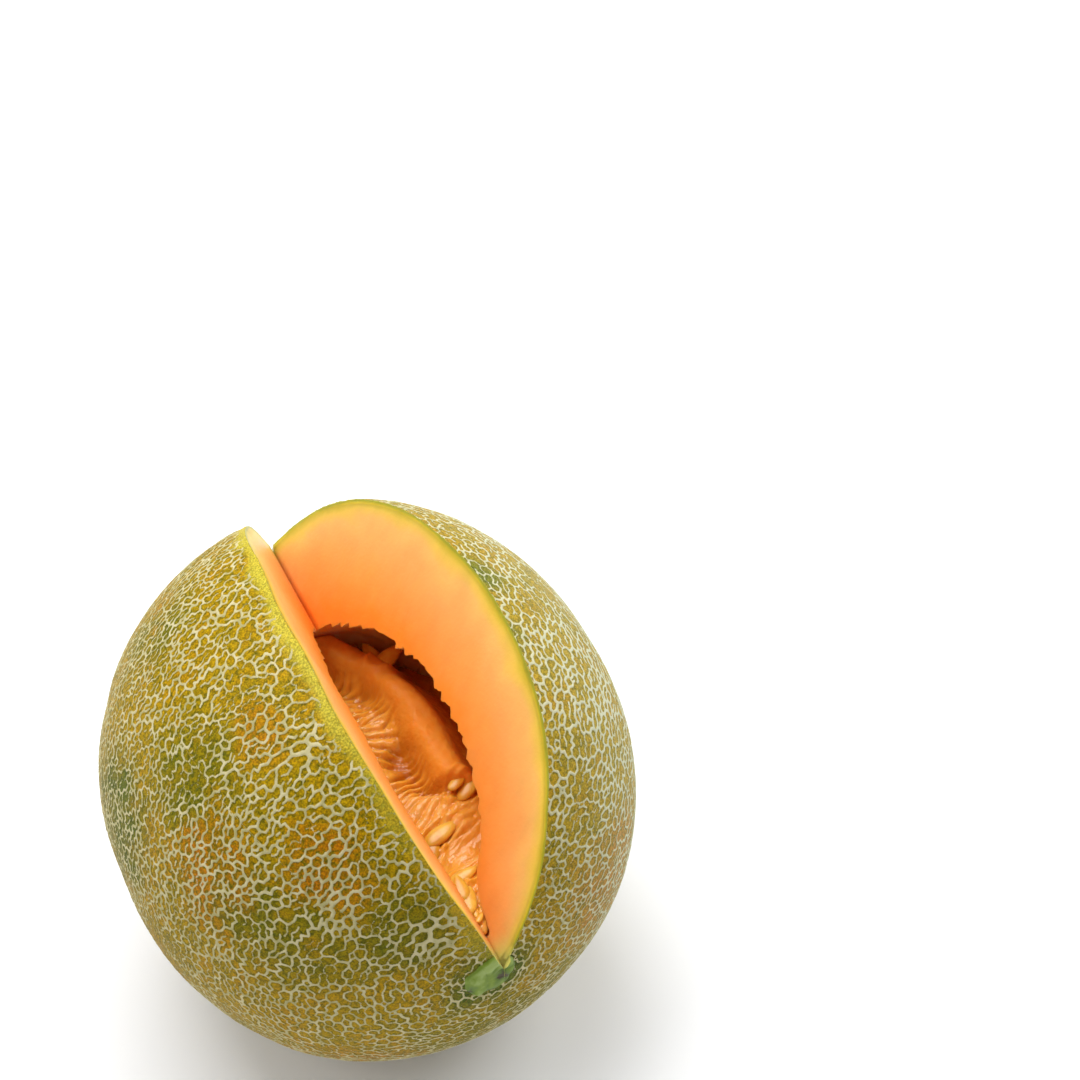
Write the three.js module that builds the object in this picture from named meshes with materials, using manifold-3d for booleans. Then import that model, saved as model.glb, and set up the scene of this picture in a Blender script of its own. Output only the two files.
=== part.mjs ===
// A netted cantaloupe melon that lies on its side, with one wedge cut out so that its seeds show.
// Units are millimetres and +Z is up. The long axis of the fruit runs along Y, stem end at -Y.
// The origin is the middle of the small flat spot that the fruit rests on.

import * as THREE from 'three';
import { mergeVertices } from 'three/addons/utils/BufferGeometryUtils.js';
import { ConvexHull } from 'three/addons/math/ConvexHull.js';
import Module from 'manifold-3d';

// Outside of the fruit, to its mean skin
const HALF_LENGTH = 78;
const HALF_WIDTH = 74.7;
const HALF_HEIGHT = 77.9;
const OUTLINE_POWER = 2.09; // 2 is an ellipse, and more gives blunter ends
const FAR_FULLNESS = 0.013; // the blossom half is a little wider than the stem half
const END_FULLNESS = 0.061; // both ends are wider than the outline curve alone
const REST_DEPTH = 1.3; // how much of the lowest skin the flat spot takes off
const CENTRE_HEIGHT = HALF_HEIGHT - REST_DEPTH;

// Raised net on the rind, drawn larger than life so that it covers the fruit
const NET_CELLS = 540;
const NET_JITTER = 0.62; // share of the spacing that a cell may stray
const CREST_LIFT = 0.9;
const CELL_SINK = 0.7;
const CELL_INSET = [0.2, 0.32]; // share of the way from a knot to the middle of its cell

// Wedge that the knife took out: two planes that meet in one line through the fruit
const WEDGE_LINE = { x: 2.5, z: 17.4 }; // where the line crosses the middle, from the centre
const WEDGE_SLOPE = { x: -0.029, z: 0.196 }; // how the line moves for each millimetre along Y
const WEDGE_LEAN_LEFT = 21.1; // degrees from upright, towards -X
const WEDGE_LEAN_RIGHT = 30.8; // degrees from upright, towards +X
const WEDGE_REACH = 150;

// Seed cavity, a long hollow round the fruit's axis, with ribs running round its wall
const CAVITY_MIDDLE = -5; // along Y
const CAVITY_HALF_LENGTH = 54;
const CAVITY_RADIUS = 44.6;
const RIB_HEIGHT = 1.5;
const CAVITY_ROWS = 36;
const CAVITY_COLUMNS = 24;

// Seed bed, the wet mass of pulp and seeds that fills the lower part of the cavity
const BED_GAP = 0.35;
const BED_LEVEL = 10; // height of the bed's face at the middle, from the fruit's centre
const BED_TILT = 0.13; // the face climbs towards the blossom end
// The lobe runs straight at x, swings to -X beyond y, and ends in a crease at foot
const LOBE = { height: 8.2, width: 6.9, x: 18, y: -12, swing: 2.2, foot: -24 };
const TROUGH = { depth: 11, start: 7.5, width: 9 };
const FAR_DROP = { start: 8, end: 36, depth: 7 };
const STEM_RISE = { start: 40, end: 55, height: 4 };
const LOW_RISE = { start: -50, end: -34, height: 2.5 };
const FOLD = { height: 1.3, pitch: 6.9, slant: 0.25 };
const BED_STEP = { x: 4.6, y: 2.5 };

// Seeds, pointed ovals: half sizes along, across and through
const SEED_HALF = { length: 5, width: 2.3, thickness: 1.1 };
// Seeds that show in the cut: place on the bed, turn and tip in degrees, rise and scale
const SHOWN_SEEDS = [
  [17.4, -23.4, 19, 10, 0.2, 0.72], [20, -25.4, 24, 16, 0.3, 0.95], [7.2, -34.2, 14, 8, 0.5, 1.12],
  [3.6, -36.6, 70, 12, 0.4, 0.86], [6.6, -50, 8, 8, 0.2, 0.9], [3.8, -54.4, 84, 6, 0.5, 0.86],
  [18.7, 28.5, 23, 10, 1.6, 1.3], [16.5, 36, 100, 10, 0.8, 1],
];
const LOOSE_SEEDS = 10; // more seeds, set out in two rows down the far sides of the bed
const LOOSE_ROWS = [-24, 29];

// Stem scar, the green button that the stalk slipped off
const SCAR_CENTRE = { x: -0.4, z: -1.6 };
const SCAR_RADIUS = 6.6;
const SCAR_GAP = 0.3;
const SCAR_SINK = 2.2;
const SCAR_PROUD = 1.3;
const SCAR_POCKET_REACH = 6; // the pocket's tool clears the net round the scar
const SCAR_SIDES = 20;

const RIND_COLOUR = 0xb9a53c;
const BED_COLOUR = 0xcf7a35;
const SCAR_COLOUR = 0x6f8f1c;

const degrees = (value) => THREE.MathUtils.degToRad(value);

const wasm = await Module();
wasm.setup();

// Random numbers from 0 to 1 that are the same on every run
function seededRandom(seed) {
  let state = seed;
  return () => {
    state = (state * 1664525 + 1013904223) % 4294967296;
    return state / 4294967296;
  };
}

function solidFromArrays(positions, triangles) {
  const vertProperties = new Float32Array(positions);
  const triVerts = new Uint32Array(triangles);
  return new wasm.Manifold(new wasm.Mesh({ numProp: 3, vertProperties, triVerts }));
}

function solidFromGeometry(geometry) {
  const bare = geometry.clone();
  bare.deleteAttribute('normal');
  bare.deleteAttribute('uv');
  const merged = mergeVertices(bare, 1e-4);
  return solidFromArrays(merged.attributes.position.array, merged.index.array);
}

function meshFromSolid(name, solid, colour, roughness) {
  const { vertProperties, triVerts } = solid.getMesh();
  const geometry = new THREE.BufferGeometry();
  geometry.setAttribute('position', new THREE.BufferAttribute(vertProperties, 3));
  geometry.setIndex(new THREE.BufferAttribute(triVerts, 1));
  const material = new THREE.MeshStandardMaterial({ color: colour, roughness, metalness: 0 });
  const mesh = new THREE.Mesh(geometry, material);
  mesh.name = name;
  return mesh;
}

// Point of the skin that a direction from the fruit's centre stands for
function skinPoint(direction, lift) {
  const ring = Math.max(Math.hypot(direction.x, direction.z), 1e-9);
  const along = Math.sign(direction.y) * Math.abs(direction.y) ** (2 / OUTLINE_POWER);
  const swell = 1 + FAR_FULLNESS * along + END_FULLNESS * along ** 2;
  const girth = (ring ** (2 / OUTLINE_POWER) * swell) / ring;
  const point = new THREE.Vector3(
    HALF_WIDTH * girth * direction.x,
    HALF_LENGTH * along,
    HALF_HEIGHT * girth * direction.z,
  );
  return point.addScaledVector(direction, lift);
}

// Directions spread evenly over a sphere on a golden spiral, then strayed at random
function scatterDirections(count, random) {
  const spacing = Math.sqrt((4 * Math.PI) / count);
  const stray = () => (random() - 0.5) * NET_JITTER * spacing;
  const goldenAngle = Math.PI * (3 - Math.sqrt(5));
  return Array.from({ length: count }, (_, i) => {
    const y = 1 - (2 * (i + 0.5)) / count;
    const ring = Math.sqrt(1 - y * y);
    const turn = goldenAngle * i;
    const spot = new THREE.Vector3(ring * Math.cos(turn), y, ring * Math.sin(turn));
    return spot.add(new THREE.Vector3(stray(), stray(), stray())).normalize();
  });
}

// Net of cells round the scattered directions. Each face of their hull gives one knot,
// and the faces round a point, taken in turn, are the knots of that point's cell.
function netCells(directions) {
  const hull = new ConvexHull().setFromPoints(directions);
  const knots = hull.faces.map((face) => face.normal.clone().normalize());
  const knotNumber = new Map(hull.faces.map((face, i) => [face, i]));
  const cells = new Map();
  for (const face of hull.faces) {
    let edge = face.edge;
    do {
      if (!cells.has(edge.head())) {
        const loop = [];
        let spoke = edge;
        do {
          loop.push(knotNumber.get(spoke.face));
          spoke = spoke.next.twin;
        } while (spoke !== edge);
        cells.set(edge.head(), loop.reverse());
      }
      edge = edge.next;
    } while (edge !== face.edge);
  }
  return { knots, cells: [...cells.values()] };
}

// Whole fruit: cell floors sunk below the mean skin, and sharp ridges raised between them
function nettedFruit() {
  const random = seededRandom(41);
  const { knots, cells } = netCells(scatterDirections(NET_CELLS, random));
  const positions = knots.flatMap((knot) => skinPoint(knot, CREST_LIFT).toArray());
  const triangles = [];
  for (const loop of cells) {
    const middle = new THREE.Vector3();
    loop.forEach((knot) => middle.add(knots[knot]));
    middle.normalize();
    const inset = THREE.MathUtils.lerp(CELL_INSET[0], CELL_INSET[1], random());
    const first = positions.length / 3;
    for (const knot of loop) {
      const direction = knots[knot].clone().lerp(middle, inset).normalize();
      positions.push(...skinPoint(direction, -CELL_SINK).toArray());
    }
    loop.forEach((knot, i) => {
      const after = (i + 1) % loop.length;
      triangles.push(knot, loop[after], first + after, knot, first + after, first + i);
      if (i > 0 && after > 0) triangles.push(first, first + i, first + after);
    });
  }
  return solidFromArrays(positions, triangles);
}

// Prism with its sharp edge on the wedge's inner line and its two faces on the cut planes
function wedgeTool() {
  const corners = [-WEDGE_REACH, WEDGE_REACH].flatMap((y) => {
    const apex = [WEDGE_LINE.x + WEDGE_SLOPE.x * y, y, WEDGE_LINE.z + WEDGE_SLOPE.z * y];
    const leaned = (lean) => [
      apex[0] + WEDGE_REACH * Math.sin(degrees(lean)), y,
      apex[2] + WEDGE_REACH * Math.cos(degrees(lean)),
    ];
    return [apex, leaned(-WEDGE_LEAN_LEFT), leaned(WEDGE_LEAN_RIGHT)];
  });
  const triangles = [
    0, 2, 1, 3, 4, 5,
    0, 1, 4, 0, 4, 3,
    1, 2, 5, 1, 5, 4,
    2, 0, 3, 2, 3, 5,
  ];
  return solidFromArrays(corners.flat(), triangles);
}

// Closed long hollow, made a set distance smaller all round, with ribs on every other row
function cavityShape(shrink, ribHeight, columns, rows) {
  const sphere = new THREE.SphereGeometry(1, columns, rows);
  const place = sphere.attributes.position;
  for (let i = 0; i < place.count; i += 1) {
    const row = Math.round((Math.acos(THREE.MathUtils.clamp(place.getY(i), -1, 1)) / Math.PI) * rows);
    const radius = CAVITY_RADIUS - shrink - (row % 2) * ribHeight;
    const along = CAVITY_MIDDLE + place.getY(i) * (CAVITY_HALF_LENGTH - shrink);
    place.setXYZ(i, place.getX(i) * radius, along, place.getZ(i) * radius);
  }
  return solidFromGeometry(sphere);
}

// Height of the bed's wet face: a smooth lobe down its right as far as a crease, folds across
// its left, and a rise to the stem end
function bedHeight(x, y) {
  const { smoothstep } = THREE.MathUtils;
  const swing = LOBE.swing * (Math.max(y - LOBE.y, 0) / 29) ** 2.8;
  const fromLobe = x - LOBE.x + swing;
  const present = smoothstep(y + 0.5 * (x - LOBE.x), LOBE.foot - 3, LOBE.foot + 3);
  const lobe = LOBE.height * Math.exp(-(Math.abs(fromLobe / LOBE.width) ** 3.2)) * present;
  const beyond = smoothstep(fromLobe, TROUGH.start, TROUGH.start + TROUGH.width) * present;
  const folded = smoothstep(-fromLobe, 2, 7);
  const folds = FOLD.height * Math.sin((2 * Math.PI * (y + FOLD.slant * x)) / FOLD.pitch);
  const far = (FAR_DROP.depth + 3 * folded) * smoothstep(y, FAR_DROP.start, FAR_DROP.end);
  const stem = STEM_RISE.height * smoothstep(-y, STEM_RISE.start, STEM_RISE.end);
  const low = LOW_RISE.height * (1 - present) * smoothstep(x, 4, 16)
    * smoothstep(y, LOW_RISE.start, LOW_RISE.end);
  const level = BED_LEVEL + BED_TILT * y + stem + low - far;
  return level + lobe - TROUGH.depth * beyond + folds * folded;
}

// Block under the bed's face, wider and deeper than the cavity
function bedBlock() {
  const halfWidth = CAVITY_RADIUS + 3;
  const halfLength = CAVITY_HALF_LENGTH + 3;
  const columns = Math.round((2 * halfWidth) / BED_STEP.x);
  const rows = Math.round((2 * halfLength) / BED_STEP.y);
  const box = new THREE.BoxGeometry(2 * halfWidth, 2 * halfLength, 2, columns, rows, 1);
  const place = box.attributes.position;
  for (let i = 0; i < place.count; i += 1) {
    const x = place.getX(i);
    const y = place.getY(i) + CAVITY_MIDDLE;
    place.setXYZ(i, x, y, place.getZ(i) > 0 ? bedHeight(x, y) : -CAVITY_RADIUS - 3);
  }
  return solidFromGeometry(box);
}

// One pointed oval seed, turned and tipped, half sunk in the bed's face
function seed(x, y, turn, tip, rise, scale) {
  const oval = new THREE.SphereGeometry(scale, 8, 4);
  oval.rotateZ(Math.PI / 2);
  oval.scale(SEED_HALF.length, SEED_HALF.width, SEED_HALF.thickness);
  oval.rotateY(degrees(-tip));
  oval.rotateZ(degrees(turn));
  oval.translate(x, y, bedHeight(x, y) + rise);
  return solidFromGeometry(oval);
}

function seedBed() {
  const shrink = RIB_HEIGHT + BED_GAP;
  const hollow = cavityShape(shrink, 0, 24, 14);
  let bed = bedBlock().intersect(hollow);
  for (const place of SHOWN_SEEDS) bed = bed.add(seed(...place));
  const random = seededRandom(7);
  for (let i = 0; i < LOOSE_SEEDS; i += 1) {
    const row = LOOSE_ROWS[i % LOOSE_ROWS.length];
    const y = CAVITY_MIDDLE + (i / (LOOSE_SEEDS - 1) - 0.5) * CAVITY_HALF_LENGTH * 1.1;
    const x = row * (0.85 + 0.2 * random());
    bed = bed.add(seed(x, y, 360 * random(), 8 + 14 * random(), 0.44, 1));
  }
  return bed.intersect(hollow);
}

// Turned button with a dished middle and a lobed edge, grown a set distance all round
function scarShape(grow, proud) {
  const skin = HALF_LENGTH - 0.5;
  const radius = SCAR_RADIUS + grow;
  const profile = [
    [0, -SCAR_SINK - grow], [0.86 * radius, -SCAR_SINK - grow], [radius, -0.3],
    [0.92 * radius, 0.6 * proud], [0.7 * radius, proud], [0.4 * radius, 0.45 * proud],
    [0, 0.6 * proud],
  ].map(([across, out]) => new THREE.Vector2(across, -(skin + out)));
  const lathe = new THREE.LatheGeometry(profile.reverse(), SCAR_SIDES);
  const place = lathe.attributes.position;
  for (let i = 0; i < place.count; i += 1) {
    const angle = Math.atan2(place.getZ(i), place.getX(i));
    const edge = 1 + 0.05 * Math.cos(5 * angle + 0.6) + 0.03 * Math.cos(3 * angle);
    place.setX(i, place.getX(i) * edge * 1.06);
    place.setZ(i, place.getZ(i) * edge);
  }
  lathe.translate(SCAR_CENTRE.x, 0, SCAR_CENTRE.z);
  return solidFromGeometry(lathe);
}

// Everything below the flat spot
function floorBlock() {
  const depth = 20;
  const block = new THREE.BoxGeometry(4 * HALF_WIDTH, 4 * HALF_LENGTH, depth);
  block.translate(0, 0, -CENTRE_HEIGHT - depth / 2);
  return solidFromGeometry(block);
}

const wedge = wedgeTool();
const cavity = cavityShape(0, RIB_HEIGHT, CAVITY_COLUMNS, CAVITY_ROWS);
const rind = nettedFruit().subtract(wedge).subtract(cavity).subtract(scarShape(SCAR_GAP, SCAR_POCKET_REACH))
  .subtract(floorBlock());
const scar = scarShape(0, SCAR_PROUD).subtract(wedge);

const melon = new THREE.Group();
melon.add(
  meshFromSolid('rind_and_flesh', rind, RIND_COLOUR, 0.75),
  meshFromSolid('seed_bed', seedBed(), BED_COLOUR, 0.3),
  meshFromSolid('stem_scar', scar, SCAR_COLOUR, 0.6),
);
melon.position.z = CENTRE_HEIGHT;

export default melon;
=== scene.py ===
# A netted cantaloupe that lies on its side, with one wedge cut out so that its seeds show.
import math

import bpy
import numpy as np
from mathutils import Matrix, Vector


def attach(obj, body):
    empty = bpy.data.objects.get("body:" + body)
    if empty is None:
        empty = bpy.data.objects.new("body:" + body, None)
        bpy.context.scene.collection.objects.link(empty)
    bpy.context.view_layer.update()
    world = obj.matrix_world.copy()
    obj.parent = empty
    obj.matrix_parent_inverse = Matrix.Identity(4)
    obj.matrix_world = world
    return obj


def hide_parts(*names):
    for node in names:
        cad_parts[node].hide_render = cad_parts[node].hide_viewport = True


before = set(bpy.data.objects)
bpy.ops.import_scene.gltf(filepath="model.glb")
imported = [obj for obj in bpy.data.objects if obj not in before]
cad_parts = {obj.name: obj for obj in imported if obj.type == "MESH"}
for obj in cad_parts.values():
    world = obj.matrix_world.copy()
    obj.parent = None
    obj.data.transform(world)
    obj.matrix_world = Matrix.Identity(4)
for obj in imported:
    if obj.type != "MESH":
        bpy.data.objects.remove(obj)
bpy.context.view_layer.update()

# The flesh.
# The thick orange body that the fruit grew round its seeds, a rind's thickness inside the skin.
# A knife took one wedge out of it, and the seeds lie in its hollow. Sizes are in millimetres.
MM = 0.001
HALF_WIDTH, HALF_LENGTH, HALF_HEIGHT = 74.7, 78.0, 77.9
OUTLINE_POWER = 2.09  # 2 is an ellipse, and more gives blunter ends
FAR_FULLNESS = 0.013  # the blossom end's girth over the stem end's, as a share
END_FULLNESS = 0.061  # both ends' girth over the outline's own
REST_DEPTH = 1.3  # what the flat spot that it rests on takes off
RIND_THICKNESS = 1.5
BODY_STEPS = 40  # faces along one side of each of the six patches of the round body
CENTRE = np.array([0.0, 0.0, HALF_HEIGHT - REST_DEPTH])


def skin_points(directions, lift):
    """Points of the mean skin, in millimetres from the fruit's centre, raised by lift."""
    ring = np.maximum(np.hypot(directions[:, 0], directions[:, 2]), 1e-9)
    along = np.sign(directions[:, 1]) * np.abs(directions[:, 1]) ** (2 / OUTLINE_POWER)
    swell = 1 + FAR_FULLNESS * along + END_FULLNESS * along**2
    girth = ring ** (2 / OUTLINE_POWER) * swell / ring
    points = np.stack(
        [
            HALF_WIDTH * girth * directions[:, 0],
            HALF_LENGTH * along,
            HALF_HEIGHT * girth * directions[:, 2],
        ],
        axis=1,
    )
    return points + directions * lift


def ball_grid(steps):
    """Directions over a sphere and the square faces between them, even all over."""
    line = np.tan(np.linspace(-1, 1, steps + 1) * math.pi / 4)
    u, v = (g.ravel() for g in np.meshgrid(line, line, indexing="ij"))
    first = (np.arange(steps)[:, None] * (steps + 1) + np.arange(steps)).ravel()
    square = np.stack([first, first + steps + 1, first + steps + 2, first + 1], axis=1)
    points, faces = [], []
    for axis in range(3):
        for side in (-1, 1):
            patch = np.empty((len(u), 3))
            patch[:, axis] = side
            patch[:, (axis + 1) % 3] = u
            patch[:, (axis + 2) % 3] = v
            faces.append((square if side > 0 else square[:, ::-1]) + len(u) * len(points))
            points.append(patch)
    points = np.concatenate(points)
    points /= np.linalg.norm(points, axis=1)[:, None]
    _, kept, number = np.unique(
        np.round(points * 1e7).astype(np.int64), axis=0, return_index=True, return_inverse=True
    )
    return points[kept], number.ravel()[np.concatenate(faces)]


def piece_from(name, points, faces, materials=()):
    """An object from points in millimetres round the fruit's centre and equal-sided faces."""
    mesh = bpy.data.meshes.new(name)
    mesh.vertices.add(len(points))
    mesh.vertices.foreach_set("co", ((points + CENTRE) * MM).astype(np.float32).ravel())
    mesh.loops.add(faces.size)
    mesh.loops.foreach_set("vertex_index", faces.astype(np.int32).ravel())
    mesh.polygons.add(len(faces))
    mesh.polygons.foreach_set("loop_start", np.arange(0, faces.size, faces.shape[1], dtype=np.int32))
    mesh.update(calc_edges=True)
    for material in materials:
        mesh.materials.append(material)
    piece = bpy.data.objects.new(name, mesh)
    bpy.context.collection.objects.link(piece)
    return piece


def settle(piece, name):
    """Turns a piece and its modifiers into a plain mesh under a name, and drops the modifiers."""
    plain = bpy.data.meshes.new_from_object(piece.evaluated_get(bpy.context.evaluated_depsgraph_get()))
    piece.modifiers.clear()
    piece.data = plain
    piece.name = plain.name = name
    return piece


def carve(piece, tool, operation):
    """Cuts a closed piece by a closed tool, which brings its own material to the cut."""
    cut = piece.modifiers.new(tool.name, "BOOLEAN")
    cut.solver = "MANIFOLD"
    cut.operation = operation
    cut.object = tool
    cut.material_mode = "TRANSFER"
    tool.hide_render = True


def waves(points, size, seed, layers=18):
    """Smooth bumps from -1 to 1 over points, about size millimetres across."""
    random = np.random.default_rng(seed)
    heading = random.normal(size=(layers, 3))
    heading /= np.linalg.norm(heading, axis=1)[:, None]
    pace = 2 * math.pi / (size * random.uniform(1.4, 3.0, layers))
    phase = random.uniform(0, 2 * math.pi, layers)
    total = np.sin(points @ (heading * pace[:, None]).T + phase).sum(axis=1)
    return total / math.sqrt(layers)


def smooth(value, low, high):
    """0 below low, 1 above high, and an even S between."""
    t = np.clip((value - low) / (high - low), 0, 1)
    return t * t * (3 - 2 * t)


def paint(code):
    """A colour's sRGB hex code as the linear colour that shaders mix."""
    parts = [int(code[i : i + 2], 16) / 255 for i in (1, 3, 5)]
    return (*(c / 12.92 if c <= 0.04045 else ((c + 0.055) / 1.055) ** 2.4 for c in parts), 1)


def add(tree, kind, inputs=None, **settings):
    """Adds one node with its settings. An input takes a value, a socket or a node's first output."""
    made = tree.nodes.new(kind)
    for name, value in settings.items():
        setattr(made, name, value)
    for key, value in (inputs or {}).items():
        socket = made.inputs[key]
        if isinstance(value, bpy.types.Node):
            value = value.outputs[0]
        if isinstance(value, bpy.types.NodeSocket):
            tree.links.new(value, socket)
        else:
            socket.default_value = value
    return made


def new_material(name, constants):
    """A material of one Principled shader, with the numbers that are the same all over it."""
    material = bpy.data.materials.new(name)
    material.use_nodes = True
    tree = material.node_tree
    tree.nodes.clear()
    shader = add(tree, "ShaderNodeBsdfPrincipled", constants)
    add(tree, "ShaderNodeOutputMaterial", {"Surface": shader})
    return material, tree, shader


def colour_stops(ramp, stops):
    """Gives a colour ramp its stops, each a place from 0 to 1 and a colour's hex code."""
    for number, (place, code) in ((0, stops[0]), (1, stops[-1])):
        ramp.elements[number].position = place
        ramp.elements[number].color = paint(code)
    for place, code in stops[1:-1]:
        ramp.elements.new(place).color = paint(code)


# Ripe wet melon flesh, cut with a knife. Light sinks a few millimetres into it, so that it
# glows, and its colour runs from a yellow-green line at the rind through peach to orange.
# Each layer is its depth under the skin and its colour.
FLESH_LAYERS = (
    (0.4, "#90942a"), (1.1, "#ccb830"), (2.8, "#e4c250"), (6.0, "#ecb968"),
    (12.0, "#f3ad62"), (24.0, "#f8a450"), (33.0, "#fc9634"),
)
RAMP_DEPTH = 40.0
LAYER_SHIFT = 8.0  # how far the layers' borders stray
flesh_finish, tree, shader = new_material("cut_flesh", {
    "IOR": 1.36, "Subsurface Weight": 0.4, "Subsurface Radius": (1.0, 0.72, 0.45),
    "Subsurface Scale": 6 * MM,
})
deep = add(tree, "ShaderNodeAttribute", attribute_name="depth")
place = add(tree, "ShaderNodeTexCoord").outputs["Object"]
cloud = add(tree, "ShaderNodeTexNoise", {"Vector": place, "Scale": 1 / (14 * MM), "Detail": 3.0})
shift = add(
    tree, "ShaderNodeMapRange",
    {"Value": cloud.outputs["Fac"], "To Min": -LAYER_SHIFT, "To Max": LAYER_SHIFT},
)
near_rind = add(
    tree, "ShaderNodeMapRange", {"Value": deep.outputs["Fac"], "From Max": 9.0, "To Max": 1.0}
)
sway = add(tree, "ShaderNodeMath", {0: shift, 1: near_rind}, operation="MULTIPLY")
swayed = add(tree, "ShaderNodeMath", {0: deep.outputs["Fac"], 1: sway}, operation="ADD")
share = add(tree, "ShaderNodeMath", {0: swayed, 1: RAMP_DEPTH}, operation="DIVIDE")
layers = add(tree, "ShaderNodeValToRGB", {"Fac": share})
colour_stops(layers.color_ramp, [(depth / RAMP_DEPTH, code) for depth, code in FLESH_LAYERS])
# Long faint streaks run out from the hollow to the rind, and the stem end stays pale green.
stretch = add(tree, "ShaderNodeMapping", {"Vector": place, "Scale": (1.0, 1.0, 0.3)})
streaks = add(tree, "ShaderNodeTexNoise", {"Vector": stretch, "Scale": 1 / (6 * MM), "Detail": 3.0})
streak_share = add(
    tree, "ShaderNodeMapRange",
    {"Value": streaks.outputs["Fac"], "From Min": 0.3, "From Max": 0.7, "To Min": 0.95, "To Max": 1.05},
)
streaked = add(
    tree, "ShaderNodeMix", {0: 1.0, 6: layers.outputs["Color"], 7: streak_share},
    data_type="RGBA", blend_type="MULTIPLY",
)
STEM_END = Vector((2, -HALF_LENGTH, CENTRE[2] + 3)) * MM
from_stem = add(tree, "ShaderNodeVectorMath", {0: place, 1: tuple(STEM_END)}, operation="DISTANCE")
stem_share = add(
    tree, "ShaderNodeMapRange",
    {"Value": from_stem.outputs["Value"], "From Min": 2 * MM, "From Max": 11 * MM,
     "To Min": 0.9, "To Max": 0.0},
    interpolation_type="SMOOTHSTEP",
)
flesh_colour = add(
    tree, "ShaderNodeMix", {0: stem_share, 6: streaked.outputs[2], 7: paint("#d4cc74")},
    data_type="RGBA",
)
tree.links.new(flesh_colour.outputs[2], shader.inputs["Base Color"])
fibres = add(tree, "ShaderNodeTexNoise", {"Vector": place, "Scale": 1 / (1.1 * MM), "Detail": 3.0})
wet = add(tree, "ShaderNodeMapRange", {"Value": fibres.outputs["Fac"], "To Min": 0.30, "To Max": 0.52})
tree.links.new(wet.outputs[0], shader.inputs["Roughness"])
grain = add(
    tree, "ShaderNodeBump", {"Height": fibres.outputs["Fac"], "Strength": 0.25, "Distance": 0.3 * MM}
)
tree.links.new(grain.outputs[0], shader.inputs["Normal"])

# The flesh's soft inner face, wet and torn where the pulp was. It is pale enough to pass light
# on inside the hollow.
wall_finish, tree, shader = new_material("cavity_wall", {
    "Roughness": 0.4, "IOR": 1.36, "Subsurface Weight": 0.6, "Subsurface Radius": (1.0, 0.6, 0.3),
    "Subsurface Scale": 9 * MM,
})
place = add(tree, "ShaderNodeTexCoord").outputs["Object"]
cloud = add(tree, "ShaderNodeTexNoise", {"Vector": place, "Scale": 1 / (5 * MM), "Detail": 3.0})
wall_colour = add(tree, "ShaderNodeValToRGB", {"Fac": cloud.outputs["Fac"]})
colour_stops(wall_colour.color_ramp, ((0.35, "#ffb060"), (0.68, "#ffc084")))
tree.links.new(wall_colour.outputs["Color"], shader.inputs["Base Color"])

# The knife's wedge and the seed cavity are closed tools. The wedge is two faces that meet in one
# line through the fruit, with the slight waver that a hand-held knife leaves. The cavity is a
# long hollow with torn ribs running round its wall.
WEDGE_LINE = (2.5, 17.4)  # where the two faces meet, in X and Z, halfway along the fruit
WEDGE_SLOPE = (-0.029, 0.196)  # and how that changes with Y
WEDGE_LEANS = (-21.1, 30.8)  # degrees from upright
WEDGE_REACH = 100.0
WEDGE_HALF_GAP = 0.04
KNIFE_WAVER = 0.22
SLIT_DEPTH, SLIT_HALF_WIDTH = 4.0, 0.42  # the second cut ran past the first at the far end
SLIT_RUN = (10, 50)
CAVITY_MIDDLE = -5.0
CAVITY_HALF_LENGTH = 54.0
CAVITY_RADIUS = 44.6
CAVITY_ROWS, CAVITY_COLUMNS = 210, 260
RIB_PITCH = 4.7
RIB_RISE = 0.72  # the share of a rib that rises gently, before it falls steeply
RIB_DEPTH = 3.0
NECK_START, NECK_LENGTH, NECK_NARROWING = 50.0, 10.0, 0.8
NECK_X, NECK_Z = 4.4, 5.0


def box_faces(rows, columns):
    """Faces of a closed box whose two broad sides are rows by columns grids."""
    size = (rows + 1) * (columns + 1)
    first = (np.arange(rows)[:, None] * (columns + 1) + np.arange(columns)).ravel()
    near = np.stack([first, first + 1, first + columns + 2, first + columns + 1], axis=1)
    far = near[:, ::-1] + size
    grid = np.arange(size).reshape(rows + 1, columns + 1)
    rim = np.concatenate([grid[0, :-1], grid[:-1, -1], grid[-1, :0:-1], grid[:0:-1, 0]])
    after = np.roll(rim, -1)
    walls = np.stack([after, rim, rim + size, after + size], axis=1)
    return np.concatenate([near, far, walls])


def wedge_tool():
    """The wedge that was cut out, a box whose two broad faces meet at its inner edge."""
    rows, columns = 150, 84
    y = np.linspace(-WEDGE_REACH, WEDGE_REACH, rows + 1)[:, None]
    out = np.concatenate([[-SLIT_DEPTH], np.linspace(0, WEDGE_REACH, columns)])[None, :]
    sheets = []
    for number, lean in enumerate(WEDGE_LEANS):
        turn = math.radians(lean)
        side = (WEDGE_HALF_GAP + SLIT_HALF_WIDTH * smooth(y, *SLIT_RUN)) * (number * 2 - 1)
        x = WEDGE_LINE[0] + WEDGE_SLOPE[0] * y + np.maximum(out, 0) * math.sin(turn) + side
        z = WEDGE_LINE[1] + WEDGE_SLOPE[1] * y + np.where(out > 0, out * math.cos(turn), out)
        sheet = np.stack([x, y + 0 * out, z], axis=2).reshape(-1, 3)
        waver = KNIFE_WAVER * waves(sheet, 14, 3 + number) * smooth(out + 0 * y, 0, 12).ravel()
        sheet[:, 0] += waver * math.cos(turn)
        sheet[:, 2] -= waver * math.sin(turn)
        sheets.append(sheet)
    return piece_from("wedge_tool", np.concatenate(sheets), box_faces(rows, columns), [flesh_finish])


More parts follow.
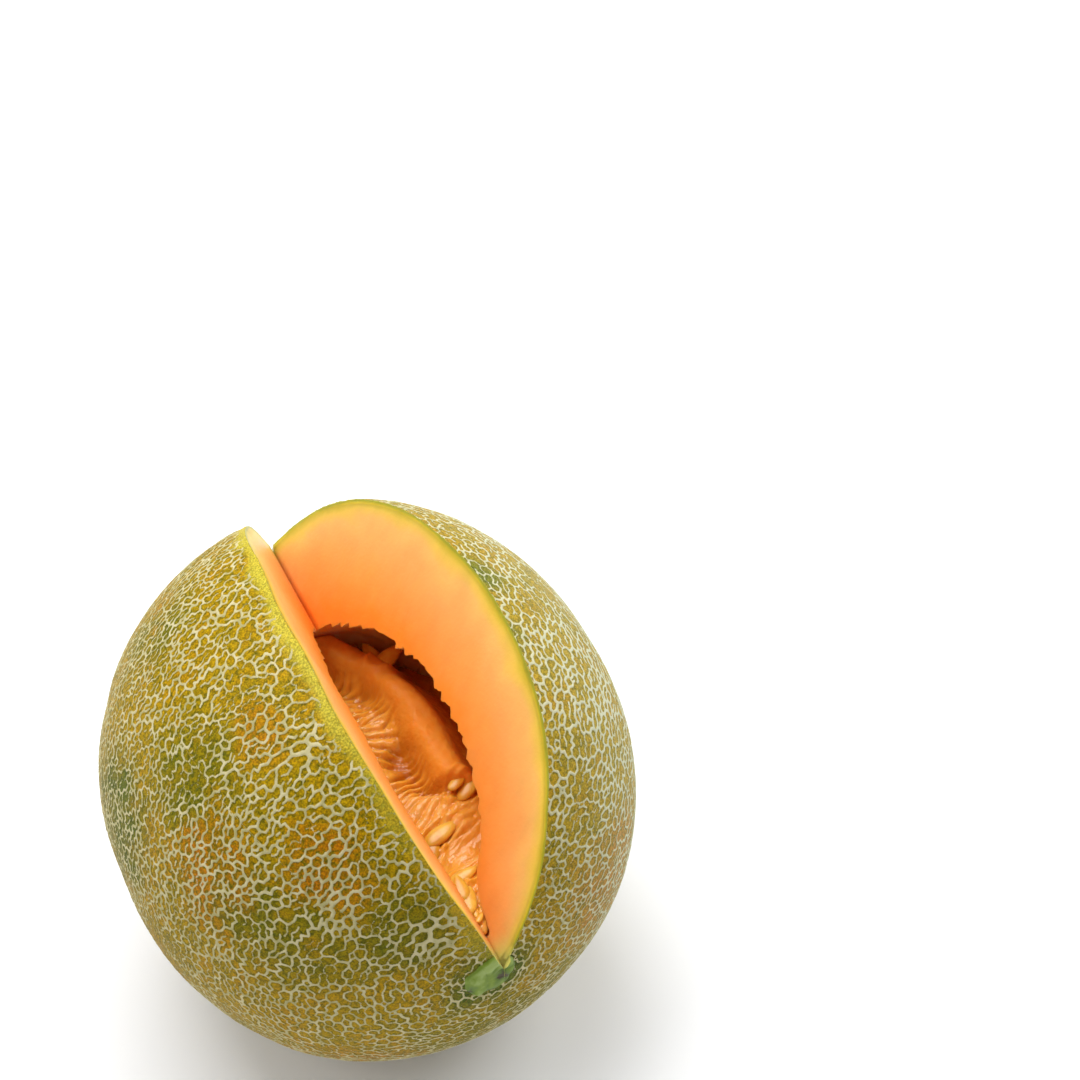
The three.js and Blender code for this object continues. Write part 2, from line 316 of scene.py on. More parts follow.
def hollow_points(rows, columns, shrink, rib_depth):
    """Points round the cavity's wall, row by row along the fruit, and its two closing tips."""
    lat = np.linspace(0, math.pi, rows + 2)[1:-1][:, None]
    turn = np.linspace(0, 2 * math.pi, columns, endpoint=False)[None, :]
    across = np.sin(lat) * (CAVITY_RADIUS - shrink) + 0 * turn
    y = CAVITY_MIDDLE - np.cos(lat) * (CAVITY_HALF_LENGTH - 0.2 * shrink) + 0 * turn
    bare = np.stack([across * np.sin(turn), y, across * np.cos(turn)], axis=2).reshape(-1, 3)
    # Each rib rises towards the fruit's middle line, with finer tears on it.
    round_y = bare[:, 1] + 1.5 * waves(bare, 11, 11) + 0.6 * waves(bare, 4, 12)
    place = (round_y / RIB_PITCH) % 1
    saw = np.where(place < RIB_RISE, place / RIB_RISE, (1 - place) / (1 - RIB_RISE))
    fine = np.abs((round_y / RIB_PITCH * 2.6) % 1 - 0.5) * 2
    strength = (0.75 + 0.3 * waves(bare, 9, 13)) * np.sin(lat).repeat(columns, axis=1).ravel() ** 0.5
    inward = rib_depth * np.clip(strength, 0.15, 1.1) * (0.85 * saw + 0.16 * fine)
    scale = 1 - inward / np.maximum(np.hypot(bare[:, 0], bare[:, 2]), 6)
    bare[:, 0] *= scale
    bare[:, 2] *= scale
    tips = np.array([[0, CAVITY_MIDDLE + s * (CAVITY_HALF_LENGTH - 0.2 * shrink), 0] for s in (-1, 1)])
    points = np.concatenate([bare, tips])
    # The hollow's stem end is drawn out into a neck along the foot of the cut.
    end = CAVITY_HALF_LENGTH - CAVITY_MIDDLE
    drawn = smooth(-points[:, 1], NECK_START, end)
    points[:, 0] = points[:, 0] * (1 - NECK_NARROWING * drawn) + NECK_X * drawn
    points[:, 2] = points[:, 2] * (1 - NECK_NARROWING * drawn) + NECK_Z * drawn
    points[:, 1] -= NECK_LENGTH * drawn**1.5
    return points


def hollow_faces(rows, columns):
    """Triangles of a closed round form: bands between its rows and a fan at each tip."""
    ring = np.arange(columns)
    after = (ring + 1) % columns
    bands = []
    for row in range(rows - 1):
        low, high = row * columns, (row + 1) * columns
        bands.append(np.stack([ring + low, ring + high, after + high], axis=1))
        bands.append(np.stack([ring + low, after + high, after + low], axis=1))
    near_tip = np.full(columns, rows * columns)
    last = (rows - 1) * columns
    bands.append(np.stack([near_tip, ring, after], axis=1))
    bands.append(np.stack([near_tip + 1, after + last, ring + last], axis=1))
    return np.concatenate(bands)


def flip_if_inside_out(points, faces):
    """Faces that point outwards, told by the sign of the volume that they hold."""
    a, b, c = (points[faces[:, i]] for i in range(3))
    return faces if np.einsum("ij,ij->i", a, np.cross(b, c)).sum() > 0 else faces[:, ::-1]


wedge = wedge_tool()
hollow_grid = hollow_points(CAVITY_ROWS, CAVITY_COLUMNS, 0.0, RIB_DEPTH)
hollow_mesh = flip_if_inside_out(hollow_grid, hollow_faces(CAVITY_ROWS, CAVITY_COLUMNS))
hollow = piece_from("cavity_tool", hollow_grid, hollow_mesh, [wall_finish])

# The flesh is one closed piece, the body under the rind less the wedge and the cavity.
directions, squares = ball_grid(BODY_STEPS)
flesh = piece_from("flesh", skin_points(directions, -RIND_THICKNESS), squares, [flesh_finish])
carve(flesh, wedge, "DIFFERENCE")
carve(flesh, hollow, "DIFFERENCE")
settle(flesh, "flesh")


def note_depth(piece):
    """Stores how many millimetres each point lies under the mean skin."""
    mesh = piece.data
    points = np.empty(len(mesh.vertices) * 3, np.float32)
    mesh.vertices.foreach_get("co", points)
    points = points.reshape(-1, 3) / MM - CENTRE
    u = np.clip(points[:, 1] / HALF_LENGTH, -0.999, 0.999)
    swell = (1 - np.abs(u) ** OUTLINE_POWER) ** (1 / OUTLINE_POWER)
    swell = swell * (1 + FAR_FULLNESS * u + END_FULLNESS * u * u)
    ring = np.hypot(points[:, 0] / HALF_WIDTH, points[:, 2] / HALF_HEIGHT)
    steep = np.hypot(1, np.abs(u) / np.maximum(swell, 0.05))
    depth = (swell - ring) * 0.5 * (HALF_WIDTH + HALF_HEIGHT) / steep
    mesh.attributes.new("depth", "FLOAT", "POINT").data.foreach_set("value", depth.astype(np.float32))


note_depth(flesh)
flesh.data.shade_smooth()
flesh.data.set_sharp_from_angle(angle=math.radians(50))
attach(flesh, "root")
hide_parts("rind_and_flesh")

# The netted rind.
# A thin live skin with the dry cork net raised on it, cut by the same knife. It is made in eight
# long closed gores, side by side round the fruit, so that each one keeps its finest lines.
NET_RAISE = 0.26
MAIN_HALF_LINE = (0.22, 0.38)  # a line's half width varies between these
FINE_HALF_LINE = (0.13, 0.27)
GORES = 8
SKIN_STEPS = 320
LINE_STEPS = 64
# The net is cork that healed the cracks of the growing skin. The skin is packed with small cells,
# the net runs along the borders between them, and its main lines run between groups of cells.
CELL_SPACING = 2.6
GROUP_SPACING = 6.6
FINE_SHARE = 0.60  # how much of the border inside a group has cracked
FINE_LEAN = 0.52  # fine cracks run across the -X flank, and along the +X flank
SQUEEZE = (1.75, 0.85)  # cells are shorter along the fruit at its -X side, longer at its +X side
STEM_RINGS = 30.0  # cracks run in rings this near to the stem
OPEN_PLACE = (-16, -22, 70)  # the cells are larger round here, where the skin grew most
OPEN_REACH = (22.0, 62.0)
OPEN_CROWD = 0.72  # how many cells there are at that place, for one elsewhere
CLOSEST, CROWD = 0.66, 1.9  # least distance over a spacing, and points on its square
# Places on the skin, how far they reach, and how much the net is wider there.
CORK_PATCHES = (
    ((-28, -36, 64), 5.0, 0.24),
    ((-35, -64, 31), 6.0, 0.22),
    ((-12, -74, 22), 7.0, 0.26),
    ((51, -38, 44), 24.0, 0.10),
)
# Places on the skin that stayed green, one place of painted shade, and places that ripened to orange.
GREEN_AND_SHADE_PLACES = (
    ((-71, 0, 20), 20.0, 0.8),
    ((-55, -20, 50), 17.0, 0.55),
    ((-47, -58, 25), 18.0, 0.5),
    ((-20, -72, 25), 14.0, 0.6),
    ((-47, 28, 54), 14.0, 0.5),
    ((35, -4, 68), 9.0, 0.8),
    ((34, -27, 65), 6.0, 0.7),
    ((0, -78, 0), 13.0, 1.0),
    # Painted shade: this place darkens the low stem-end underside as shade, not as green skin.
    ((6, -64, -40), 36.0, 0.55),
    # These two make the underside greener and darker.
    ((0, 70, -30), 30.0, 0.6),
    ((60, 30, -30), 30.0, 0.6),
)
RIPE_PLACES = (
    ((-58, -40, 33), 16.0, 0.75),
    ((-33, -58, 43), 12.0, 0.8),
    ((-36, -26, 64), 10.0, 0.45),
    ((45, -64, 0), 22.0, 0.9),
    ((-30, -55, -45), 26.0, 0.6),
    ((-20, 50, -50), 30.0, 0.7),
)


def start_tree(name, sizes):
    """A geometry tree with its named sizes, its input node and each size's identifier."""
    tree = bpy.data.node_groups.new(name, "GeometryNodeTree")
    tree.interface.new_socket("Geometry", in_out="INPUT", socket_type="NodeSocketGeometry")
    keys = {}
    for size, value in sizes.items():
        kind = "NodeSocketInt" if isinstance(value, int) else "NodeSocketFloat"
        keys[size] = tree.interface.new_socket(size, in_out="INPUT", socket_type=kind).identifier
    tree.interface.new_socket("Geometry", in_out="OUTPUT", socket_type="NodeSocketGeometry")
    return tree, add(tree, "NodeGroupInput"), keys


def finish_tree(tree, geometry, material):
    """Ends a tree in plain geometry with its material."""
    whole = add(tree, "GeometryNodeRealizeInstances", {0: geometry})
    finished = add(tree, "GeometryNodeSetMaterial", {0: whole, "Material": material})
    add(tree, "NodeGroupOutput", {0: finished})


def grow(piece, tree, keys, sizes):
    """Runs a tree on a piece with its sizes, and leaves a plain mesh."""
    growth = piece.modifiers.new(tree.name, "NODES")
    growth.node_group = tree
    for size, value in sizes.items():
        growth[keys[size]] = value
    return settle(piece, piece.name)


def wander(tree, place, size, reach):
    """A place moved about by smooth noise of a size in metres."""
    cloud = add(tree, "ShaderNodeTexNoise", {"Vector": place, "Scale": 1 / size, "Detail": 1.0})
    level = add(
        tree, "ShaderNodeVectorMath", {0: cloud.outputs["Color"], 1: (0.5, 0.5, 0.5)},
        operation="SUBTRACT",
    )
    push = add(tree, "ShaderNodeVectorMath", {0: level, "Scale": reach}, operation="SCALE")
    return add(tree, "ShaderNodeVectorMath", {0: place, 1: push}, operation="ADD").outputs[0]


directions, squares = ball_grid(LINE_STEPS)
body_points = skin_points(directions, 0.0)
body = piece_from("body_form", body_points, squares)
drawn_points = body_points.copy()
drawn_points[:, 1] *= np.interp(body_points[:, 0], (-HALF_WIDTH, HALF_WIDTH), SQUEEZE)
lines = piece_from("net_lines", drawn_points, squares)

line_sizes = {
    "Cell Spacing": CELL_SPACING * MM, "Group Spacing": GROUP_SPACING * MM,
    "Fine Share": FINE_SHARE, "Fine Lean": FINE_LEAN, "Seed": 4,
}
tree, given, keys = start_tree("net_lines", line_sizes)
place = add(tree, "GeometryNodeInputPosition").outputs[0]
opening = tuple((np.array(OPEN_PLACE) + CENTRE) * MM)
from_open = add(tree, "ShaderNodeVectorMath", {0: place, 1: opening}, operation="DISTANCE")
crowding = add(
    tree, "ShaderNodeMapRange",
    {"Value": from_open.outputs["Value"], "From Min": OPEN_REACH[0] * MM,
     "From Max": OPEN_REACH[1] * MM, "To Min": OPEN_CROWD, "To Max": 1.0},
)
packed = []
for spacing in ("Cell Spacing", "Group Spacing"):
    apart = add(tree, "ShaderNodeMath", {0: given.outputs[spacing], 1: CLOSEST}, operation="MULTIPLY")
    crowd = add(tree, "ShaderNodeMath", {0: given.outputs[spacing], 1: -2.0}, operation="POWER")
    crowd = add(tree, "ShaderNodeMath", {0: crowd, 1: CROWD}, operation="MULTIPLY")
    scatter = add(
        tree, "GeometryNodeDistributePointsOnFaces",
        {"Mesh": given.outputs["Geometry"], "Distance Min": apart,
         "Density Max": crowd, "Density Factor": crowding,
         "Seed": given.outputs["Seed"]},
        distribute_method="POISSON",
    )
    packed.append(scatter.outputs["Points"])
hull = add(tree, "GeometryNodeConvexHull", {0: packed[0]})
cells = add(tree, "GeometryNodeDualMesh", {0: hull})

# A border lies between two groups where the random marks of its two cells' groups differ.
group = add(tree, "GeometryNodeSampleNearest", {0: packed[1]})
mark = add(tree, "FunctionNodeRandomValue", {"ID": group, "Seed": 5}, data_type="FLOAT")
mark = mark.outputs[1]
mark_squared = add(tree, "ShaderNodeMath", {0: mark, 1: mark}, operation="MULTIPLY")
mean = add(tree, "GeometryNodeFieldOnDomain", {0: mark}, domain="FACE").outputs[0]
mean_of_squares = add(tree, "GeometryNodeFieldOnDomain", {0: mark_squared}, domain="FACE")
square_of_mean = add(tree, "ShaderNodeMath", {0: mean, 1: mean}, operation="MULTIPLY")
spread = add(tree, "ShaderNodeMath", {0: mean_of_squares, 1: square_of_mean}, operation="SUBTRACT")
is_main = add(tree, "ShaderNodeMath", {0: spread, 1: 1e-6}, operation="GREATER_THAN")

# Fine borders are kept by chance, more of them where they run the way that the skin cracked.
ends = add(tree, "GeometryNodeInputMeshEdgeVertices")
run = add(
    tree, "ShaderNodeVectorMath", {0: ends.outputs["Position 2"], 1: ends.outputs["Position 1"]},
    operation="SUBTRACT",
)
run = add(tree, "ShaderNodeVectorMath", {0: run}, operation="NORMALIZE")
here = add(tree, "GeometryNodeInputPosition").outputs[0]
away = add(tree, "ShaderNodeVectorMath", {0: here, 1: tuple(CENTRE * MM)}, operation="SUBTRACT")
round_way = add(tree, "ShaderNodeVectorMath", {0: away, 1: (0, 1, 0)}, operation="CROSS_PRODUCT")
round_way = add(tree, "ShaderNodeVectorMath", {0: round_way}, operation="NORMALIZE")
crosswise = add(tree, "ShaderNodeVectorMath", {0: run, 1: round_way}, operation="DOT_PRODUCT")
crosswise = add(tree, "ShaderNodeMath", {0: crosswise.outputs["Value"]}, operation="ABSOLUTE")
crosswise = add(
    tree, "ShaderNodeMapRange",
    {"Value": crosswise, "From Min": 0.3, "From Max": 0.9, "To Min": -1.0, "To Max": 1.0},
)
parts = add(tree, "ShaderNodeSeparateXYZ", {0: here})
flank = add(
    tree, "ShaderNodeMapRange",
    {"Value": parts.outputs["X"], "From Min": -40 * MM, "From Max": 40 * MM,
     "To Min": 1.0, "To Max": -1.0},
)
drawn_stem = (0, -HALF_LENGTH * SQUEEZE[0] * 0.8 * MM, 0)
to_stem = add(tree, "ShaderNodeVectorMath", {0: away, 1: drawn_stem}, operation="DISTANCE")
near_stem = add(
    tree, "ShaderNodeMapRange",
    {"Value": to_stem.outputs["Value"], "From Min": STEM_RINGS * 0.5 * MM,
     "From Max": STEM_RINGS * 1.3 * MM, "To Min": 2.0, "To Max": -1.0},
)
ringed = add(tree, "ShaderNodeMath", {0: flank, 1: near_stem}, operation="MAXIMUM")
lean = add(tree, "ShaderNodeMath", {0: ringed, 1: crosswise}, operation="MULTIPLY")
lean = add(tree, "ShaderNodeMath", {0: lean, 1: given.outputs["Fine Lean"]}, operation="MULTIPLY")
share = add(tree, "ShaderNodeMath", {0: lean, 1: given.outputs["Fine Share"]}, operation="ADD")
draw = add(tree, "FunctionNodeRandomValue", {"Seed": 9}, data_type="FLOAT").outputs[1]
cracked = add(tree, "ShaderNodeMath", {0: draw, 1: share}, operation="LESS_THAN")
kept = add(tree, "ShaderNodeMath", {0: cracked, 1: is_main}, operation="MAXIMUM")
noted = cells.outputs[0]
for mark_name, value in (("main", is_main.outputs[0]), ("kept", kept.outputs[0])):
    noted = add(
        tree, "GeometryNodeStoreNamedAttribute", {"Geometry": noted, "Name": mark_name, "Value": value},
        domain="EDGE", data_type="FLOAT",
    ).outputs[0]
bare = add(tree, "GeometryNodeDeleteGeometry", {0: noted, 1: True}, domain="FACE", mode="ONLY_FACE")
is_kept = add(tree, "GeometryNodeInputNamedAttribute", {"Name": "kept"}, data_type="FLOAT")
web = add(tree, "GeometryNodeSeparateGeometry", {0: bare, 1: is_kept}, domain="EDGE")

# Lines are bent, brought back to the fruit's own length and laid on its skin.
strands = add(tree, "GeometryNodeSubdivideMesh", {0: web, 1: 2})
drawn = add(
    tree, "ShaderNodeMapRange",
    {"Value": parts.outputs["X"], "From Min": -HALF_WIDTH * MM, "From Max": HALF_WIDTH * MM,
     "To Min": SQUEEZE[0], "To Max": SQUEEZE[1]},
    clamp=False,
)
own_y = add(tree, "ShaderNodeMath", {0: parts.outputs["Y"], 1: drawn}, operation="DIVIDE")
own = add(tree, "ShaderNodeCombineXYZ", {"X": parts.outputs["X"], "Y": own_y, "Z": parts.outputs["Z"]})
bent = wander(tree, wander(tree, own.outputs[0], 5 * MM, 0.6 * MM), 1.6 * MM, 0.5 * MM)
moved = add(tree, "GeometryNodeSetPosition", {"Geometry": strands, "Position": bent})
form = add(tree, "GeometryNodeObjectInfo", {"Object": body})
nearest = add(tree, "GeometryNodeProximity", {0: form.outputs["Geometry"]}, target_element="FACES")
laid = add(tree, "GeometryNodeSetPosition", {"Geometry": moved, "Position": nearest})
finish_tree(tree, laid.outputs[0], flesh_finish)
grow(lines, tree, keys, line_sizes)


def near_places(points, places):
    """How much each point is within the given places, from 0 to each place's strength."""
    amount = np.zeros(len(points))
    for place, reach, strength in places:
        apart = np.linalg.norm(points - np.array(place), axis=1)
        amount = np.maximum(amount, strength * smooth(-apart, -reach * 1.4, -reach * 0.4))
    return amount


def store(piece, name, values):
    """Keeps one number for each point of a mesh under a name that its material reads."""
    made = piece.data.attributes.new(name, "FLOAT", "POINT")
    made.data.foreach_set("value", np.ascontiguousarray(values, dtype=np.float32))


# Live waxy skin under dry cork. The skin has a soft low gloss, and the cork is matt and frayed.
rind_finish, tree, shader = new_material("netted_rind", {
    "IOR": 1.40, "Specular IOR Level": 0.1, "Subsurface Weight": 0.06,
    "Subsurface Radius": (1.0, 0.7, 0.2), "Subsurface Scale": 1.5 * MM,
})
place = add(tree, "ShaderNodeTexCoord").outputs["Object"]
past_line, green_and_shade_share, ripe_share, cut_share = (
    add(tree, "ShaderNodeAttribute", attribute_name=name).outputs["Fac"]
    for name in ("net", "green", "ripe", "by_cut")
)
fray = add(tree, "ShaderNodeTexNoise", {"Vector": place, "Scale": 1 / (0.55 * MM), "Detail": 2.0})
fray_push = add(
    tree, "ShaderNodeMapRange", {"Value": fray.outputs["Fac"], "To Min": -0.22, "To Max": 0.22}
)
frayed = add(tree, "ShaderNodeMath", {0: past_line, 1: fray_push}, operation="ADD")
line = add(
    tree, "ShaderNodeMapRange",
    {"Value": frayed, "From Min": -0.06, "From Max": 0.12, "To Min": 1.0, "To Max": 0.0},
    interpolation_type="SMOOTHSTEP",
).outputs[0]

# Cells are yellow in the middle and greener beside the lines, all broken up by fine specks.
broad = add(tree, "ShaderNodeTexNoise", {"Vector": place, "Scale": 1 / (9 * MM), "Detail": 3.0})
mottle = add(
    tree, "ShaderNodeTexNoise",
    {"Vector": place, "Scale": 1 / (1.1 * MM), "Detail": 4.0, "Roughness": 0.65},
)
mottle_push = add(
    tree, "ShaderNodeMapRange",
    {"Value": mottle.outputs["Fac"], "From Min": 0.32, "From Max": 0.68, "To Min": -1.7, "To Max": 1.7},
)
inward = add(tree, "ShaderNodeMath", {0: past_line, 1: mottle_push}, operation="ADD")
inward = add(
    tree, "ShaderNodeMapRange",
    {"Value": inward, "From Min": -0.8, "From Max": 1.2, "To Min": 0.0, "To Max": 1.0},
)
green_push = add(
    tree, "ShaderNodeMapRange", {"Value": broad.outputs["Fac"], "To Min": -0.75, "To Max": 0.75}
)
green_and_shade_level = add(tree, "ShaderNodeMath", {0: green_and_shade_share, 1: green_push}, operation="ADD")
ripe_level = add(tree, "ShaderNodeMath", {0: ripe_share, 1: green_push}, operation="SUBTRACT")
middle = add(
    tree, "ShaderNodeMix", {0: ripe_level, 6: paint("#b08c04"), 7: paint("#b66e06")}, data_type="RGBA"
)
middle = add(
    tree, "ShaderNodeMix", {0: green_and_shade_level, 6: middle.outputs[2], 7: paint("#5e6606")}, data_type="RGBA"
)
beside = add(
    tree, "ShaderNodeMix", {0: green_and_shade_level, 6: paint("#706406"), 7: paint("#3e4e06")}, data_type="RGBA"
)
ground = add(
    tree, "ShaderNodeMix", {0: inward, 6: beside.outputs[2], 7: middle.outputs[2]}, data_type="RGBA"
)
ground = add(
    tree, "ShaderNodeMix", {0: cut_share, 6: ground.outputs[2], 7: paint("#c6b83e")}, data_type="RGBA"
)
# The +X flank is painted duller and cooler, on the skin and on the cork: painted cool light from that
# side.
parts = add(tree, "ShaderNodeSeparateXYZ", {0: place})
painted_cool_light = add(
    tree, "ShaderNodeMapRange",
    {"Value": parts.outputs["X"], "From Min": 15 * MM, "From Max": 50 * MM, "To Max": 0.75},
)
painted_cool_light_on_skin = add(tree, "ShaderNodeMath", {0: painted_cool_light, 1: 0.5}, operation="MULTIPLY")
ground = add(
    tree, "ShaderNodeMix", {0: painted_cool_light_on_skin, 6: ground.outputs[2], 7: paint("#a49c56")}, data_type="RGBA"
)
specks = add(tree, "ShaderNodeTexNoise", {"Vector": place, "Scale": 1 / (0.5 * MM), "Detail": 2.0})
speck_share = add(
    tree, "ShaderNodeMapRange",
    {"Value": specks.outputs["Fac"], "From Min": 0.36, "From Max": 0.64, "To Min": 0.62, "To Max": 1.22},
)
ground = add(
    tree, "ShaderNodeMix", {0: 1.0, 6: ground.outputs[2], 7: speck_share},
    data_type="RGBA", blend_type="MULTIPLY",
)
cork_tone = add(tree, "ShaderNodeTexNoise", {"Vector": place, "Scale": 1 / (3 * MM), "Detail": 4.0})
cork = add(tree, "ShaderNodeValToRGB", {"Fac": cork_tone.outputs["Fac"]})
colour_stops(cork.color_ramp, ((0.34, "#a69e6c"), (0.62, "#c8be94")))
# The cork takes the same painted cool light on the +X flank.
cork = add(
    tree, "ShaderNodeMix", {0: painted_cool_light, 6: cork.outputs["Color"], 7: paint("#c0c4ac")}, data_type="RGBA"
)
skin_colour = add(
    tree, "ShaderNodeMix", {0: line, 6: ground.outputs[2], 7: cork.outputs[2]}, data_type="RGBA"
)
tree.links.new(skin_colour.outputs[2], shader.inputs["Base Color"])
dry = add(tree, "ShaderNodeMapRange", {"Value": line, "To Min": 0.50, "To Max": 0.80})
tree.links.new(dry.outputs[0], shader.inputs["Roughness"])
grain = add(
    tree, "ShaderNodeBump", {"Height": fray.outputs["Fac"], "Strength": 0.35, "Distance": 0.25 * MM}
)
tree.links.new(grain.outputs[0], shader.inputs["Normal"])

directions, squares = ball_grid(SKIN_STEPS)
on_skin = skin_points(directions, 0.0)
swell = 0.14 * waves(on_skin, 18, 31) + 0.07 * waves(on_skin, 6, 32)
skin = piece_from("skin", skin_points(directions, swell[:, None]), squares, [rind_finish])
# The green attribute also carries the painted shade of the underside.
store(skin, "green", near_places(on_skin, GREEN_AND_SHADE_PLACES))
store(skin, "ripe", near_places(on_skin, RIPE_PLACES))

# Along the left cut the skin is yellow, and the net runs out a few millimetres before it. Both
# fade towards the stem.
edge_x = WEDGE_LINE[0] + WEDGE_SLOPE[0] * on_skin[:, 1]
edge_z = WEDGE_LINE[1] + WEDGE_SLOPE[1] * on_skin[:, 1]
turn = math.radians(WEDGE_LEANS[0])
off_x, off_z = on_skin[:, 0] - edge_x, on_skin[:, 2] - edge_z
from_cut = -(off_x * math.cos(turn) - off_z * math.sin(turn))
above = (from_cut > -1) * (on_skin[:, 2] > edge_z)
above = above * (0.35 + 0.65 * smooth(on_skin[:, 1], -66, -30))
run_out = smooth(-from_cut - 0.9 * waves(on_skin, 5, 33), -3.4, -1.0) * above
by_cut = 0.8 * smooth(-from_cut - 1.0 * waves(on_skin, 7, 34), -5.0, -1.0) * above
store(skin, "wider", near_places(on_skin, CORK_PATCHES) - 0.45 * run_out)
store(skin, "by_cut", by_cut)

net_sizes = {"Ridge Height": NET_RAISE * MM}
tree, given, keys = start_tree("raised_net", net_sizes)
here = add(tree, "GeometryNodeInputPosition").outputs[0]
away = add(tree, "ShaderNodeVectorMath", {0: here, 1: tuple(CENTRE * MM)}, operation="SUBTRACT")
outward = add(tree, "ShaderNodeVectorMath", {0: away}, operation="NORMALIZE")
laid = add(tree, "GeometryNodeObjectInfo", {"Object": lines}).outputs["Geometry"]
is_main = add(tree, "GeometryNodeInputNamedAttribute", {"Name": "main"}, data_type="FLOAT")
both = add(tree, "GeometryNodeSeparateGeometry", {0: laid, 1: is_main}, domain="EDGE")
vary = add(tree, "ShaderNodeTexNoise", {"Vector": here, "Scale": 1 / (8 * MM), "Detail": 2.0})
past = []
for side, widths in (("Selection", MAIN_HALF_LINE), ("Inverted", FINE_HALF_LINE)):
    apart = add(tree, "GeometryNodeProximity", {0: both.outputs[side]}, target_element="EDGES")
    width = add(
        tree, "ShaderNodeMapRange",
        {"Value": vary.outputs["Fac"], "From Min": 0.34, "From Max": 0.66,
         "To Min": widths[0], "To Max": widths[1]},
    )
    apart = add(tree, "ShaderNodeMath", {0: apart.outputs["Distance"], 1: 1 / MM}, operation="MULTIPLY")
    beyond = add(tree, "ShaderNodeMath", {0: apart, 1: width}, operation="SUBTRACT")
    past.append(beyond.outputs[0])
past_line = add(tree, "ShaderNodeMath", {0: past[0], 1: past[1], 2: 0.06}, operation="SMOOTH_MIN")
wider = add(tree, "GeometryNodeInputNamedAttribute", {"Name": "wider"}, data_type="FLOAT")
past_line = add(tree, "ShaderNodeMath", {0: past_line, 1: wider}, operation="SUBTRACT").outputs[0]
ridge = add(
    tree, "ShaderNodeMapRange",
    {"Value": past_line, "From Min": -0.22, "From Max": 0.26, "To Min": 1.0, "To Max": 0.0},
    interpolation_type="SMOOTHSTEP",
)
crust = add(tree, "ShaderNodeTexNoise", {"Vector": here, "Scale": 1 / (1.6 * MM), "Detail": 2.0})
crust = add(tree, "ShaderNodeMapRange", {"Value": crust.outputs["Fac"], "To Min": 0.72, "To Max": 1.28})
lift = add(tree, "ShaderNodeMath", {0: ridge, 1: given.outputs["Ridge Height"]}, operation="MULTIPLY")
lift = add(tree, "ShaderNodeMath", {0: lift, 1: crust}, operation="MULTIPLY")
puff = add(
    tree, "ShaderNodeMapRange",
    {"Value": past_line, "From Max": 2.2, "To Min": -0.12 * MM, "To Max": 0.10 * MM},
)
lift = add(tree, "ShaderNodeMath", {0: lift, 1: puff}, operation="ADD")
raised = add(tree, "ShaderNodeVectorMath", {0: outward, "Scale": lift}, operation="SCALE")
noted = add(
    tree, "GeometryNodeStoreNamedAttribute",
    {"Geometry": given.outputs["Geometry"], "Name": "net", "Value": past_line},
    domain="POINT", data_type="FLOAT",
)
moved = add(tree, "GeometryNodeSetPosition", {"Geometry": noted, "Offset": raised})
finish_tree(tree, moved.outputs[0], rind_finish)
grow(skin, tree, keys, net_sizes)

# The lining tool is the flesh's own outside, and the rest tool leaves the flat spot underneath.
directions, squares = ball_grid(BODY_STEPS)
lining = piece_from("lining_tool", skin_points(directions, -RIND_THICKNESS), squares, [flesh_finish])
rest_corners = np.array(
    [[x, y, z] for z in (-CENTRE[2] - 20, -CENTRE[2]) for x in (-90.0, 90.0) for y in (-90.0, 90.0)]
)
rest_sides = np.array(
    [[0, 1, 3, 2], [4, 6, 7, 5], [0, 4, 5, 1], [1, 5, 7, 3], [3, 7, 6, 2], [2, 6, 4, 0]]
)
rest = piece_from("rest_tool", rest_corners, rest_sides, [rind_finish])


def sector_tool(number):
    """A long three-cornered block from the fruit's axis out past the skin, one gore wide."""
    reach, half_length = 130.0, 100.0
    turns = [2 * math.pi * (number + side) / GORES for side in (0, 1)]
    corners = [
        [r * math.sin(t), y, r * math.cos(t)]
        for y in (-half_length, half_length) for r, t in ((0, 0), *((reach, t) for t in turns))
    ]
    sides = np.array(
        [[0, 1, 2], [3, 5, 4], [0, 3, 4], [0, 4, 1], [1, 4, 5], [1, 5, 2], [2, 5, 3], [2, 3, 0]]
    )
    corners = np.array(corners)
    return piece_from("gore_tool", corners, flip_if_inside_out(corners, sides), [rind_finish])


for number in range(GORES):
    gore = skin.copy()
    gore.data = skin.data
    bpy.context.collection.objects.link(gore)
    sector = sector_tool(number)
    for tool, operation in (
        (sector, "INTERSECT"), (lining, "DIFFERENCE"), (wedge, "DIFFERENCE"), (rest, "DIFFERENCE"),
    ):
        carve(gore, tool, operation)
    settle(gore, f"netted_rind_{number + 1}")
    bpy.data.objects.remove(sector)
    note_depth(gore)
    gore.data.shade_smooth()
    gore.data.set_sharp_from_angle(angle=math.radians(62))
    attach(gore, "root")
    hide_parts("rind_and_flesh")

for tool in (skin, lining, rest, lines, body):
    bpy.data.objects.remove(tool)

# The seed bed.
# The wet mass of pulp and fibres that holds the seeds. A smooth lobe runs down its right side,
# slippery folds cross its left, and it fills the lower part of the hollow, a hair off the wall.
BED_GAP = 0.35
BED_LEVEL = 10.0
BED_TILT = 0.13
LOBE_HEIGHT, LOBE_HALF_WIDTH, LOBE_X = 8.2, 6.4, 17.4
LOBE_BEND, BEND_START, BEND_RUN = 2.2, -12.0, 29.0  # it swings to -X by this much over the run
LOBE_FOOT, FOOT_SLANT, CREASE_DEPTH = -24.0, 0.5, 1.8  # a deep crease ends the lobe here
TROUGH_DEPTH, TROUGH_START, TROUGH_WIDTH = 8.5, 7.5, 9.0
FAR_START, FAR_LENGTH, FAR_DROP, LEFT_DROP = 8.0, 28.0, 7.0, 3.0
STEM_RISE, STEM_RISE_Y = 4.0, (40, 55)
LOW_RISE, LOW_RISE_X, LOW_RISE_Y = 2.5, (4, 16), (-50, -34)
